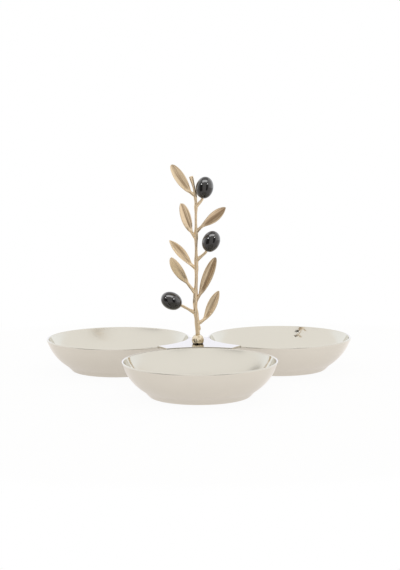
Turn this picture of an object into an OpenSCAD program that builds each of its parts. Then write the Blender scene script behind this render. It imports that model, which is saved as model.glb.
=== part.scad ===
// Olive dish: three round bowls of bright sheet metal stand in a trefoil. A small plate joins
// their rims and carries a brass olive branch, which serves as the handle.
// Millimetres. The dish stands on z = 0, one bowl lies to the front (-Y), two lie behind it.

/* [Bowls] */
// Outside diameter at the rim
rim_d = 148; // [130:1:165]
// Height from the table to the top of the rim
bowl_h = 33.5; // [30:0.5:40]
// Diameter of the middle of the sheet where the base turns up into the foot
base_d = 95; // [84:1:99]
// Diameter of the middle of the sheet where the foot meets the wall
foot_d = 104.5; // [102:0.5:110]
// Height of the middle of the sheet where the foot meets the wall
foot_h = 6; // [5:0.5:8]
// Radius of the wall in section, in the middle of the sheet
wall_arc_r = 47; // [40:1:70]
// Thickness of the spun sheet
sheet_t = 1.8; // [1.4:0.1:2.2]
// Diameter of the rounded bead that ends the wall
bead_d = 2.4; // [2.2:0.1:3]
// Clear space between two neighbouring rims
rim_gap = 18; // [14:1:26]

/* [Centre plate] */
// Thickness of the plate
plate_t = 2; // [1.5:0.1:3]
// How far the plate stands proud of the rims
plate_proud = 0.6; // [0.3:0.1:0.9]
// From the plate's middle to each of its three ends
plate_reach = 42; // [38:0.5:46]
// Solder film between the plate's edge and a bowl
solder_gap = 0.1; // [0.05:0.05:0.2]

/* [Ball and screw] */
// Diameter of the ball
ball_d = 12.2; // [11.5:0.1:14]
// Diameter of the flat on which the ball stands
ball_seat_d = 10; // [9:0.1:10.5]
// Diameter of the flat on top that takes the stem
ball_top_d = 5.2; // [4.8:0.1:6]
// Diameter of the screw's shank
screw_d = 4; // [3:0.5:5]
// Depth of the screw in the ball
screw_bite = 4.5; // [3:0.5:5]
// Space left at the end of the ball's bore
bore_end = 0.4; // [0.2:0.1:0.6]
// Clearance round the shank in the ball
screw_fit = 0.05; // [0.03:0.01:0.1]
// Clearance round the shank in the plate and in the washer
hole_fit = 0.25; // [0.1:0.05:0.4]
// Diameter of the screw's head
head_d = 8; // [7:0.5:9]
// Height of the screw's head
head_h = 2.6; // [2.2:0.2:3.4]
// Width of the slot in the head
slot_w = 1.2; // [0.8:0.1:1.6]
// Depth of the slot in the head
slot_depth = 1.2; // [0.8:0.1:1.4]
// Outside diameter of the washer
washer_d = 12; // [10:0.5:16]
// Thickness of the washer
washer_t = 1; // [0.6:0.1:1.6]

/* [Stem] */
// How far the branch stands to the right of the plate's middle
branch_x = -1.3; // [-2:0.1:2]
// Height of the stem above the ball
stem_h = 158.5; // [135:0.5:180]
// Diameter at the ball
stem_base_d = 4.4; // [3.8:0.1:4.8]
// Diameter high up, between the knots
stem_thin_d = 2.5; // [2.2:0.1:3]
// Swelling of the radius at a knot
knot_swell = 0.6; // [0.4:0.05:0.8]
// Half length of a knot
knot_half = 4; // [3:0.5:5]
// Length of the flat bud that ends the stem
bud_l = 13; // [9:0.5:15]
// Width of the bud at its end
bud_w = 4.2; // [3:0.1:5]
// Thickness of the bud at its end
bud_t = 1.8; // [1.4:0.1:2.4]
// Diameter of the tenon in the ball
tenon_d = 2.8; // [2.4:0.1:3.2]
// Length of the tenon in the ball
tenon_l = 2.6; // [2:0.2:2.8]
// Clearance round the tenon
tenon_fit = 0.05; // [0.03:0.01:0.1]
// Height of the pruned twig's stub above the ball, as a share of the stem's height
stub_at = 0.05; // [0.035:0.005:0.055]
// Radius of the stub's round end
stub_r = 1.6; // [1.2:0.1:2]
// How deep the stub's middle lies in the stem
stub_sink = 0.5; // [0.3:0.1:0.8]

/* [Leaves] */
// Length of the blade of six leaves
leaf_l = 32.5; // [27:0.5:38]
// Length of the blade of the long leaf
long_leaf_l = 38.5; // [32:0.5:44]
// Width of a blade laid flat
leaf_w = 11.2; // [9:0.2:13]
// Thickness of a blade
leaf_t = 1.3; // [1:0.1:1.8]
// Rise of the blade's halves towards the edges, as a slope
leaf_fold = 0.3; // [0.15:0.05:0.45]
// Height of the rib along the back
rib_h = 0.5; // [0.3:0.1:0.8]
// Half width of the rib along the back
rib_half = 1; // [0.6:0.1:1.4]
// Rounding of the fold along the midrib
fold_r = 0.4; // [0.2:0.1:0.8]
// Radius of a blade's tip
tip_r = 0.4; // [0.3:0.05:0.6]
// Diameter of the petiole
petiole_d = 3.1; // [2.6:0.1:3.3]
// Extra radius where a petiole or a stalk runs into the stem
flare = 0.7; // [0.3:0.1:0.9]
// Length over which that extra radius dies out
flare_l = 4.5; // [3:0.5:6]
// How much slimmer than the stem a petiole or a stalk stays at its foot, in radius
foot_in = 0.15; // [0.1:0.05:0.3]
// Braze film between the stem and what is brazed to it
braze_gap = 0.05; // [0.03:0.01:0.1]

/* [Olives] */
// Diameter of an olive
olive_d = 17.5; // [15:0.5:20]
// Length of an olive
olive_l = 22.2; // [19:0.2:25]
// Diameter of a stalk
stalk_d = 2.7; // [2.3:0.1:2.9]
// Diameter of the pin at a stalk's end
pin_d = 1.5; // [1.2:0.1:1.7]
// Depth of the pin in the olive
pin_bite = 6; // [4:0.5:8]
// Glue film round the pin and at its end
glue_gap = 0.15; // [0.1:0.05:0.25]
// Diameter of the dimple round the stalk's end
dimple_d = 6; // [5.6:0.1:7]
// Depth of the dimple
dimple_depth = 0.6; // [0.4:0.1:1]

/* [Hidden] */
$fn = 64;

nickel = [0.80, 0.78, 0.74];
brass = [0.80, 0.66, 0.42];
polished_brass = [0.86, 0.72, 0.44];
steel = [0.70, 0.70, 0.72];
black = [0.05, 0.05, 0.06];

// Heights above the ball in the next three tables are shares of the stem's height.
// Each leaf from the bottom up: foot on the stem's axis, side (1 right, -1 left), petiole's rise in
// degrees, petiole's length in blades of leaf_l, blade's rise, lean to the front, roll, and the
// fullness of the blade's ends (1 pointed, 0.5 round).
leaves = [[0.0707, 1, 17, 0.282, 66, -6, -36, 0.6],
          [0.2118, 1, 51, 0.318, 68, -8, -27, 0.5],
          [0.2646, -1, 50, 0.408, 60, 17, -23, 0.47],
          [0.4203, -1, 32, 0.226, 49, -16, 40, 0.69],
          [0.6112, -1, 51, 0.315, 73, 26, 28, 0.42],
          [0.6482, 1, 48, 0.288, 35, -27, 20, 0.67],
          [0.8782, -1, 29, 0.251, 58, -17, 23, 0.47]];
long_leaf = 1;
// Each stalk from the bottom up: foot on the stem's axis, side, rise of the stalk, its length in
// olive diameters, rise of the olive's axis, lean to the front.
stalks = [[0.1354, -1, 30, 1.008, 27, 10],
          [0.4705, 1, 45, 0.867, 65, 15],
          [0.8074, 1, 54, 0.653, 79, 10]];
// The stem's way up: sideways, to the front or back, and the height, all as shares of the height.
stem_way = stem_h * [[0, 0, 0], [-0.0038, 0.0013, 0.0757], [-0.0155, 0.0032, 0.1956],
                     [-0.0076, 0, 0.3596], [-0.0073, -0.0032, 0.5931], [-0.0082, 0, 0.7382],
                     [-0.0073, 0.0025, 0.8265], [-0.0161, 0.0013, 0.9148], [-0.0366, -0.0038, 1]];
// A blade's outline: the widest place (1 in the middle, more is nearer to the tip), and the share of
// its length over which it turns flat.
belly = 1.25;
neck = 0.22;
// How strongly a petiole or a stalk keeps its first and its last direction, as shares of its length.
petiole_pull = 1.25;
blade_pull = 0.5;
stalk_pull = 0.5;
olive_pull = 0.25;

// Pieces of one union run into each other by this much, cutters run out by it.
over = 0.5;
// Where the wall's arc lies in section: it runs through the middle of the sheet.
half_t = sheet_t / 2;
edge = [rim_d / 2 - bead_d / 2, bowl_h - bead_d / 2];
kink = [foot_d / 2, foot_h];
turn = [base_d / 2, half_t];
chord = edge - kink;
arc_mid = (edge + kink) / 2;
arc_off = sqrt(wall_arc_r * wall_arc_r - chord * chord / 4);
arc_c = arc_mid + arc_off * [-chord[1], chord[0]] / norm(chord);

// The bowls stand on a ring round the hub. The footprint's middle is the origin.
ring_r = (rim_d + rim_gap) / sqrt(3);
hub_y = ring_r / 4;
plate_top = bowl_h + plate_proud;
ball_z = plate_top + sqrt(ball_d * ball_d - ball_seat_d * ball_seat_d) / 2;
ball_top = ball_z + sqrt(ball_d * ball_d - ball_top_d * ball_top_d) / 2;
leaf_steps = 26;
leaf_sides = 14;
stalk_steps = 12;
stalk_sides = 12;
stem_step = 2.5;
stem_sides = 12;

function unit(v) = v / norm(v);
function ease(x) = let (u = min(1, max(0, x))) u * u * (3 - 2 * u);
function mix(a, b, x) = a + (b - a) * x;

// The stem's middle at a height: a smooth curve through the points of its way.
function seg(z, i = 0) = i >= len(stem_way) - 2 || z < stem_way[i + 1][2] ? i : seg(z, i + 1);
function slope(i) = let (a = stem_way[max(0, i - 1)], b = stem_way[min(len(stem_way) - 1, i + 1)])
    (b - a) / (b[2] - a[2]);
function stem_at(z) = let (i = seg(z), a = stem_way[i], b = stem_way[i + 1], l = b[2] - a[2],
    u = (z - a[2]) / l, p = u * u * (3 - 2 * u))
    [for (k = [0, 1]) a[k] + (b[k] - a[k]) * p + l * (slope(i)[k] * u * pow(1 - u, 2)
        - slope(i + 1)[k] * u * u * (1 - u)), z];
// The height of a leaf's or a stalk's foot.
function foot_z(row) = stem_h * row[0];
knots = [for (row = concat(leaves, stalks)) foot_z(row)];
function knot_sum(z, i = 0) = i >= len(knots) ? 0
    : exp(-pow((z - knots[i]) / knot_half, 2)) + knot_sum(z, i + 1);
function stem_r(z) = mix(stem_thin_d, stem_base_d, pow(1 - min(1, z / stem_h), 2)) / 2
    + knot_swell * knot_sum(z);
// Extra radius at a distance from the foot, for a piece of diameter d brazed on at height z.
function flare_r(z, d, way) = min(flare, stem_r(z) - d / 2 - foot_in) * exp(-pow(way / flare_l, 2));

// A direction that rises by a, leans to the front by b and goes to the given side.
function heading(a, b, side) = [side * cos(a) * cos(b), -sin(b), sin(a) * cos(b)];
function bezier(p, u) = pow(1 - u, 3) * p[0] + 3 * u * pow(1 - u, 2) * p[1]
    + 3 * u * u * (1 - u) * p[2] + pow(u, 3) * p[3];
function bezier_way(p, u) = unit(pow(1 - u, 2) * (p[1] - p[0]) + 2 * u * (1 - u) * (p[2] - p[1])
    + u * u * (p[3] - p[2]));

// Closed skin over rings of equal point count.
module skin(rings) {
    n = len(rings);
    k = len(rings[0]);
    sides = [for (i = [0 : n - 2], j = [0 : k - 1])
        let (a = i * k + j, b = i * k + (j + 1) % k)
        each [[a, a + k, b], [b, a + k, b + k]]];
    ends = [[for (j = [0 : k - 1]) j], [for (j = [k - 1 : -1 : 0]) (n - 1) * k + j]];
    polyhedron([for (r = rings) each r], concat(sides, ends));
}

module at_hub(z) {
    translate([0, hub_y, z]) children();
}

module at_branch(z) {
    translate([branch_x, hub_y, z]) children();
}

// The sheet in section: wall with a bead at its edge, foot and base.
module sheet_section() {
    rim_a = atan2(edge[1] - arc_c[1], edge[0] - arc_c[0]);
    kink_a = atan2(kink[1] - arc_c[1], kink[0] - arc_c[0]);
    reach = 2 * wall_arc_r;
    intersection() {
        translate(arc_c) difference() {
            circle(r = wall_arc_r + half_t);
            circle(r = wall_arc_r - half_t);
        }
        translate(arc_c) polygon([[0, 0], reach * [cos(kink_a), sin(kink_a)],
            reach * [cos(rim_a), sin(rim_a)]]);
    }
    translate(edge) circle(d = bead_d);
    translate(kink) circle(r = half_t);
    side = half_t * unit([-(kink - turn)[1], (kink - turn)[0]]);
    polygon([turn + side, turn - side, kink - side, kink + side]);
    translate(turn) circle(r = half_t);
    square([base_d / 2, sheet_t]);
}

module bowl(angle) {
    at_hub(0) rotate(angle) translate([0, -ring_r, 0]) rotate_extrude() sheet_section();
}

module bowl_front() {
    color(nickel) bowl(0);
}

module bowl_left() {
    color(nickel) bowl(-120);
}

module bowl_right() {
    color(nickel) bowl(120);
}

// The plate fills the space between the rims and ends a little before they come closest.
module centre_plate() {
    color(nickel) at_hub(plate_top - plate_t) difference() {
        linear_extrude(plate_t) polygon([for (a = [-90, 30, 150]) 2 * plate_reach * [cos(a), sin(a)]]);
        for (a = [0, 120, 240]) rotate(a) translate([0, -ring_r, -over])
            cylinder(h = plate_t + 2 * over, d = rim_d + 2 * solder_gap);
        translate([branch_x, 0, -over]) cylinder(h = plate_t + 2 * over, d = screw_d + 2 * hole_fit);
    }
}

module base_ball() {
    bore = screw_bite + bore_end;
    socket = tenon_l + bore_end;
    color(polished_brass) difference() {
        at_branch(ball_z) sphere(d = ball_d);
        at_branch(plate_top - ball_d) cylinder(h = ball_d, d = 2 * ball_d);
        at_branch(ball_top) cylinder(h = ball_d, d = 2 * ball_d);
        at_branch(plate_top - over) cylinder(h = bore + over, d = screw_d + 2 * screw_fit);
        at_branch(ball_top - socket) cylinder(h = socket + over, d = tenon_d + 2 * tenon_fit);
    }
}

module fixing_screw() {
    head_z = plate_top - plate_t - washer_t;
    dome_r = (head_d * head_d / 4 + head_h * head_h) / (2 * head_h);
    color(steel) at_branch(head_z) {
        translate([0, 0, -over]) cylinder(h = over + washer_t + plate_t + screw_bite, d = screw_d);
        difference() {
            translate([0, 0, dome_r - head_h]) sphere(r = dome_r);
            cylinder(h = 2 * dome_r, r = 2 * dome_r);
            translate([-head_d, -slot_w / 2, -head_h - over]) cube([2 * head_d, slot_w, slot_depth + over]);
        }
    }
}

module screw_washer() {
    color(steel) at_branch(plate_top - plate_t - washer_t) difference() {
        cylinder(h = washer_t, d = washer_d);
        translate([0, 0, -over]) cylinder(h = washer_t + 2 * over, d = screw_d + 2 * hole_fit);
    }
}

// The stem: round with knots, flat and blunt at the bud, with a stub low on its right.
module stem() {
    rings = floor(stem_h / stem_step);
    stub_z = stem_h * stub_at;
    color(brass) at_branch(ball_top) {
        skin([for (i = [0 : rings]) let (z = stem_h * i / rings, c = stem_at(z),
            f = ease((z - stem_h + bud_l) / bud_l), rx = mix(stem_r(z), bud_w / 2, f),
            ry = mix(stem_r(z), bud_t / 2, f))
            [for (j = [0 : stem_sides - 1]) let (a = 360 * j / stem_sides)
                c + [rx * cos(a), ry * sin(a), 0]]]);
        translate([0, 0, -tenon_l]) cylinder(h = tenon_l + over, d = tenon_d);
        translate(stem_at(stub_z) + [stem_r(stub_z) - stub_sink, 0, 0]) sphere(r = stub_r);
    }
}

// Turns +Z to a direction.
module along(way) {
    rotate([0, acos(way[2] / norm(way)), atan2(way[1], way[0])]) children();
}

// What lies inside the stem round a foot at height z.
module stem_cope(z) {
    translate(stem_at(z)) along(stem_at(z + stem_step) - stem_at(z - stem_step))
        cylinder(h = 6 * knot_half, r = stem_r(z) + braze_gap, center = true);
}

// A leaf in one casting: round petiole, blade folded along the midrib, rib on its back.
module leaf(i) {
    l = leaves[i];
    blade = (i == long_leaf ? long_leaf_l : leaf_l) * heading(l[4], l[5], l[1]);
    petiole = leaf_l * l[3] * heading(l[2], l[5] / 2, l[1]);
    foot = stem_at(foot_z(l));
    tip = foot + petiole + blade;
    way = [foot, foot + petiole_pull * petiole, tip - blade_pull * blade, tip];
    whole = norm(petiole) + norm(blade);
    start = norm(petiole) / whole;
    rings = [for (k = [0 : leaf_steps]) let (
        u = sin(90 * k / leaf_steps),
        t = max(0, (u - start) / (1 - start)),
        ahead = bezier_way(way, u),
        flat = unit(cross([0, -1, 0], ahead)),
        face = cross(ahead, flat),
        across = cos(l[6]) * flat + sin(l[6]) * face,
        up = cos(l[6]) * face - sin(l[6]) * flat,
        round_r = mix(petiole_d / 2, tip_r, t) + flare_r(foot_z(l), petiole_d, u * whole),
        half_w = norm([round_r, leaf_w / 2 * pow(sin(180 * pow(t, belly)), l[7])]),
        opens = ease(t / neck),
        thick = mix(round_r, leaf_t / 2, opens * ease((1 - t) / neck)))
        [for (j = [0 : leaf_sides - 1]) let (
            a = 360 * j / leaf_sides,
            x = half_w * cos(a),
            rise = leaf_fold * opens * (norm([x, fold_r]) - fold_r),
            rib = sin(a) < 0 ? rib_h * opens * exp(-pow(x / rib_half, 2)) : 0)
            bezier(way, u) + across * x + up * (thick * sin(a) + rise - rib)]];
    at_branch(ball_top) difference() {
        skin(rings);
        stem_cope(foot_z(l));
    }
}

module leaf_1() {
    color(brass) leaf(0);
}

module leaf_2() {
    color(brass) leaf(1);
}

module leaf_3() {
    color(brass) leaf(2);
}

module leaf_4() {
    color(brass) leaf(3);
}

module leaf_5() {
    color(brass) leaf(4);
}

module leaf_6() {
    color(brass) leaf(5);
}

module leaf_7() {
    color(brass) leaf(6);
}

function stalk_l(s) = olive_d * s[3];
function stalk_foot(s) = stem_at(foot_z(s));
function stalk_end(s) = stalk_foot(s) + stalk_l(s) * heading(s[2], s[5], s[1]);
function olive_way(s) = heading(s[4], s[5], s[1]);

// A stalk bends from its own rise to the olive's axis and ends in a pin.
module olive_stalk(i) {
    s = stalks[i];
    end = stalk_end(s);
    way = [stalk_foot(s), stalk_foot(s) + stalk_pull * stalk_l(s) * heading(s[2], s[5], s[1]),
           end - olive_pull * stalk_l(s) * olive_way(s), end];
    rings = [for (k = [0 : stalk_steps]) let (
        u = k / stalk_steps,
        ahead = bezier_way(way, u),
        flat = unit(cross([0, -1, 0], ahead)),
        face = cross(ahead, flat),
        r = stalk_d / 2 + flare_r(foot_z(s), stalk_d, u * stalk_l(s)))
        [for (j = [0 : stalk_sides - 1]) let (a = 360 * j / stalk_sides)
            bezier(way, u) + r * (cos(a) * flat + sin(a) * face)]];
    at_branch(ball_top) {
        difference() {
            skin(rings);
            stem_cope(foot_z(s));
        }
        translate(end) along(olive_way(s)) translate([0, 0, -over])
            cylinder(h = pin_bite + over, d = pin_d);
    }
}

module olive_stalk_1() {
    color(brass) olive_stalk(0);
}

module olive_stalk_2() {
    color(brass) olive_stalk(1);
}

module olive_stalk_3() {
    color(brass) olive_stalk(2);
}

// An olive: the stalk's end stands in the dimple, its pin in the bore.
module olive(i) {
    s = stalks[i];
    dimple_r = (dimple_d * dimple_d / 4 + dimple_depth * dimple_depth) / (2 * dimple_depth);
    at_branch(ball_top) translate(stalk_end(s)) along(olive_way(s))
        translate([0, 0, glue_gap - dimple_depth]) difference() {
            translate([0, 0, olive_l / 2]) scale([1, 1, olive_l / olive_d]) sphere(d = olive_d);
            translate([0, 0, dimple_depth - dimple_r]) sphere(r = dimple_r);
            cylinder(h = dimple_depth + pin_bite, d = pin_d + 2 * glue_gap);
        }
}

module olive_1() {
    color(black) olive(0);
}

module olive_2() {
    color(black) olive(1);
}

module olive_3() {
    color(black) olive(2);
}

bowl_front();
bowl_left();
bowl_right();
centre_plate();
base_ball();
fixing_screw();
screw_washer();
stem();
leaf_1();
leaf_2();
leaf_3();
leaf_4();
leaf_5();
leaf_6();
leaf_7();
olive_stalk_1();
olive_stalk_2();
olive_stalk_3();
olive_1();
olive_2();
olive_3();
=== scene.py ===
# %% [markdown]
# # An olive dish in Blender
# Three bright bowls stand in a trefoil. A small plate joins their rims, and a brass olive branch stands
# on the plate as the handle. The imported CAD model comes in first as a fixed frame: every piece that is
# made below is in metres and lies where its CAD node lies, so nothing has to be fitted by eye.

# %% Load the frame
from math import asin, atan2, copysign, cos, exp, hypot, pi, radians, sin, sqrt

import bpy
from mathutils import Matrix, Vector


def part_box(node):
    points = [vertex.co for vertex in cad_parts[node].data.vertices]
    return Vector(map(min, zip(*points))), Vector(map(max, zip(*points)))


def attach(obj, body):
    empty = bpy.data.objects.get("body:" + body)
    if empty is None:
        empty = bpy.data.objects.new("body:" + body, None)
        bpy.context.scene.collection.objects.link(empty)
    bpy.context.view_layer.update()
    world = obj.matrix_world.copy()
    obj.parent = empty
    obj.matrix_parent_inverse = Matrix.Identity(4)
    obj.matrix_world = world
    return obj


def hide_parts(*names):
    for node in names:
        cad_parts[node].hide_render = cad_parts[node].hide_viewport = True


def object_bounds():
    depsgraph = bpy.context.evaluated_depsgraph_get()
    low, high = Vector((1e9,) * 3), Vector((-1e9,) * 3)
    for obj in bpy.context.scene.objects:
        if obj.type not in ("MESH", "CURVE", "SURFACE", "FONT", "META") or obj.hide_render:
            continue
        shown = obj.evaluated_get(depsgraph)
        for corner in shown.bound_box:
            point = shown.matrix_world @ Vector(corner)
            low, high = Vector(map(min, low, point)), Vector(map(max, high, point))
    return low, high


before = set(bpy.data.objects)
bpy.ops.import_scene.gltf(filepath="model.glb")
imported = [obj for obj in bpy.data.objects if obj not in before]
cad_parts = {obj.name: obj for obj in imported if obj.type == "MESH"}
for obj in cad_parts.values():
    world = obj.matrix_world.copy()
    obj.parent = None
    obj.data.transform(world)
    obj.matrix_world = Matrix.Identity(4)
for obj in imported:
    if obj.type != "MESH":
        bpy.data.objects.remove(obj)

MM = 0.001
cad_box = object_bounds()
print("CAD nodes:", len(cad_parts), "box:", cad_box)

# %% [markdown]
# ## Camera
# The photo was taken from a little above the branch with a long lens. The place and the angles below come
# from fitting the rims, the bases and the branch to the picture, which is 400 by 570 pixels. Blender
# gives the sensor's width to the longer side of a picture, so the lens follows from the 570 pixels.

# %% The photo's camera
PICTURE = (400, 570)
FOCAL_PIXELS = 1554.8
SENSOR_W = 36.0
CAMERA_AT = (-0.0092, -1.5167, 0.2819)
# Degrees: round the upright, down from level, and about the line of sight
CAMERA_TURN, CAMERA_DOWN, CAMERA_ROLL = -0.386, 6.984, -0.348


def add_object(name, data):
    """A new object at the origin, in the scene."""
    made = bpy.data.objects.new(name, data)
    bpy.context.scene.collection.objects.link(made)
    return made


camera_data = bpy.data.cameras.new("photo_camera")
camera_data.sensor_width = SENSOR_W
camera_data.lens = FOCAL_PIXELS * SENSOR_W / max(PICTURE)
camera = add_object("photo_camera", camera_data)
camera.matrix_world = (Matrix.Translation(CAMERA_AT)
                       @ Matrix.Rotation(radians(CAMERA_TURN), 4, "Z")
                       @ Matrix.Rotation(radians(90 - CAMERA_DOWN), 4, "X")
                       @ Matrix.Rotation(radians(CAMERA_ROLL), 4, "Z"))
bpy.context.scene.camera = camera
print("lens of", round(camera_data.lens, 1), "mm")

# %% [markdown]
# ## Node maths as Python
# Materials and node trees below hold a lot of sums. Adding each Math node by hand hides what is meant, so
# a small class wraps a node's output and its operators add the nodes: `1 - mask` is one Math node.
# Vectors go through Vector Math. Every other node comes from one method, `Graph.add`.

# %% A wrapped output
def named(sockets, key):
    """A socket by number, or the first one in use with that name."""
    if isinstance(key, int):
        return sockets[key]
    return next(s for s in sockets if s.name == key and s.enabled)


class Value:
    """One output of a node. Operators on it add the nodes that do the sum."""

    def __init__(self, graph, node, socket):
        self.graph, self.node, self.socket = graph, node, socket

    def __getitem__(self, key):
        return Value(self.graph, self.node, named(self.node.outputs, key))

    def sum(self, operation, *values):
        return self.graph.sum(operation, self, *values)

    def __add__(self, other):
        return self.graph.sum("ADD", self, other)

    def __radd__(self, other):
        return self.graph.sum("ADD", other, self)

    def __sub__(self, other):
        return self.graph.sum("SUBTRACT", self, other)

    def __rsub__(self, other):
        return self.graph.sum("SUBTRACT", other, self)

    def __mul__(self, other):
        return self.graph.sum("MULTIPLY", self, other)

    def __rmul__(self, other):
        return self.graph.sum("MULTIPLY", other, self)

    def __truediv__(self, other):
        return self.graph.sum("DIVIDE", self, other)

    def __rtruediv__(self, other):
        return self.graph.sum("DIVIDE", other, self)

    def ease(self, low, high):
        """0 below low, 1 above high, smooth between them."""
        return self.graph.add("ShaderNodeMapRange", {"interpolation_type": "SMOOTHSTEP"},
                              {"Value": self, "From Min": low, "From Max": high})


print("outputs can be added, subtracted, multiplied, divided and eased")


# %% A graph that adds nodes
class Graph:
    """A node tree with one way to add a node: its type, its settings, then its inputs."""

    def __init__(self, tree):
        self.tree = tree

    def add(self, kind, settings=None, inputs=None, output=0):
        node = self.tree.nodes.new(kind)
        for key, value in (settings or {}).items():
            setattr(node, key, value)
        for key, value in (inputs or {}).items():
            socket = named(node.inputs, key)
            if isinstance(value, Value):
                self.tree.links.new(value.socket, socket)
            else:
                socket.default_value = value
        return Value(self, node, named(node.outputs, output) if node.outputs else None)

    def sum(self, operation, *values):
        """One Math node, or one Vector Math node where a vector is among the values."""
        vector = [v.socket.type == "VECTOR" if isinstance(v, Value) else not isinstance(v, (int, float))
                  for v in values]
        if not any(vector):
            return self.add("ShaderNodeMath", {"operation": operation}, dict(enumerate(values)))
        if operation == "MULTIPLY" and not all(vector):
            way, size = values if vector[0] else values[::-1]
            return self.add("ShaderNodeVectorMath", {"operation": "SCALE"}, {"Vector": way, "Scale": size})
        return self.add("ShaderNodeVectorMath", {"operation": operation}, dict(enumerate(values)))

    def mix(self, mask, low, high):
        """A colour that goes from low to high with the mask."""
        low, high = (c if isinstance(c, Value) else (*c, 1.0) for c in (low, high))
        return self.add("ShaderNodeMix", {"data_type": "RGBA"}, {0: mask, 6: low, 7: high}, 2)

    def xyz(self, vector):
        split = self.add("ShaderNodeSeparateXYZ", inputs={0: vector})
        return split["X"], split["Y"], split["Z"]


print("node maths ready")

# %% [markdown]
# ## Metals and glaze
# A metal in Blender is one Principled shader with Metallic at 1: its colour is what it reflects straight
# on. No real surface is even, so each finish gets its own fine detail from noise on Object coordinates or
# from an attribute that the piece carries: spinning rings, polishing haze, casting grain, leaf veins.

# %% A material with its graph
def finish(name, colour, roughness, metallic=1.0, **sockets):
    """A Principled material with plain values. Returns it, its graph and its shader."""
    material = bpy.data.materials.new(name)
    material.use_nodes = True
    graph = Graph(material.node_tree)
    shader = material.node_tree.nodes["Principled BSDF"]
    shader.inputs["Base Color"].default_value = (*colour, 1.0)
    shader.inputs["Roughness"].default_value = roughness
    shader.inputs["Metallic"].default_value = metallic
    for key, value in sockets.items():
        shader.inputs[key.replace("_", " ")].default_value = value
    return material, graph, shader


def link(graph, value, shader, socket):
    graph.tree.links.new(value.socket, shader.inputs[socket])


print("a finish starts from one Principled shader")


# %% Detail for a finish
def object_place(graph):
    return graph.add("ShaderNodeTexCoord", output="Object")


def attribute(graph, name):
    """A value that the piece carries. It is 0 on a piece that doesn't have it."""
    return graph.add("ShaderNodeAttribute", {"attribute_name": name}, output="Fac")


def noise(graph, place, scale, detail=2.0):
    return graph.add("ShaderNodeTexNoise", inputs={"Vector": place, "Scale": scale, "Detail": detail})


def bump(graph, shader, height, strength, distance):
    """Feeds a height, as a share of the distance, into the shader's normal."""
    sizes = {"Strength": strength, "Distance": distance, "Height": height}
    link(graph, graph.add("ShaderNodeBump", inputs=sizes), shader, "Normal")


print("detail comes from places, attributes, noise and bumps")

# %% [markdown]
# ### Bright nickel
# The bowls are spun from sheet, plated with nickel and buffed, and the plate shares the finish. The
# polish leaves a slight haze that drifts over the surface, and the spinning tool leaves faint rings.
# Every bowl carries its distance from the axis as an attribute, so the rings run round it. The wheel came
# in from the left and right, so the walls are clearest there, and it dwelt at the back of the right bowl.

# %% Nickel for the bowls and the plate
DWELL_X, DWELL_Y = 90 * MM, 130 * MM
nickel, graph, shader = finish("bright_nickel", (0.73, 0.705, 0.635), roughness=0.06)
place = object_place(graph)
radius = attribute(graph, "from_axis")
haze = noise(graph, place, scale=24.0, detail=3.0)
radius_mm = graph.add("ShaderNodeCombineXYZ", inputs={"X": radius * (1 / MM)})
tool_rings = noise(graph, radius_mm, scale=1.7)
link(graph, graph.mix(haze, (0.745, 0.72, 0.652), (0.715, 0.69, 0.622)), shader, "Base Color")
x, y, _ = graph.xyz(place)
aside, beyond = x - DWELL_X, y - DWELL_Y
from_dwell = (aside * aside + beyond * beyond).sum("SQRT")
ends = attribute(graph, "sideways").sum("ABSOLUTE").ease(0.85, 0.95)
dull = from_dwell.ease(30 * MM, 110 * MM) * (1.0 - ends)
wall = radius.ease(30 * MM, 50 * MM)
link(graph, 0.05 + 0.04 * haze + 0.02 * tool_rings + dull * (0.08 + 0.09 * wall), shader, "Roughness")
bump(graph, shader, tool_rings, strength=0.03, distance=0.2 * MM)
print("made", nickel.name)

# %% [markdown]
# ### Solder
# The seams between the plate and the rims were not buffed with the bowls: soft grey metal, uneven and
# dull. One noise drives colour, roughness and height together, so that a lump is also paler and duller.

# %% Solder for the seams
solder, graph, shader = finish("dull_solder", (0.24, 0.22, 0.19), roughness=0.38)
drops = noise(graph, object_place(graph), scale=420.0, detail=3.0)
link(graph, graph.mix(drops, (0.14, 0.13, 0.11), (0.34, 0.32, 0.28)), shader, "Base Color")
link(graph, 0.28 + 0.2 * drops, shader, "Roughness")
bump(graph, shader, drops, strength=0.3, distance=0.3 * MM)
print("made", solder.name)

# %% [markdown]
# ### Satin brass
# The branch is cast in pale brass and brushed to a satin. The casting leaves a fine grain all over. A
# leaf also has veins and broader streaks: they run lengthwise, so they follow two attributes of the leaf,
# its share across the blade and its share along it, and not the space around it. Painted shade darkens
# each blade to the right of its midrib, away from the light, so the edges of a blade are paler. Each leaf
# is also painted lighter or darker as a whole, for how much light it catches.

# %% What the brass reads
VEINS_ACROSS, VEINS_ALONG = 6.0, 1.2
brass, graph, shader = finish("satin_brass", (0.60, 0.48, 0.33), roughness=0.3)
place = object_place(graph)
across, along, blade, painted_leaf_shade = (attribute(graph, name) for name in ("across", "along", "blade", "painted_leaf_shade"))
grain = noise(graph, place, scale=1100.0, detail=3.0)
patches = noise(graph, place, scale=90.0)
vein_place = graph.add("ShaderNodeCombineXYZ", inputs={"X": across * VEINS_ACROSS, "Y": along * VEINS_ALONG})
veins = noise(graph, vein_place, scale=1.6)
streaks = noise(graph, vein_place, scale=0.55, detail=1.0)
print("read four attributes for", brass.name)

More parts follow.
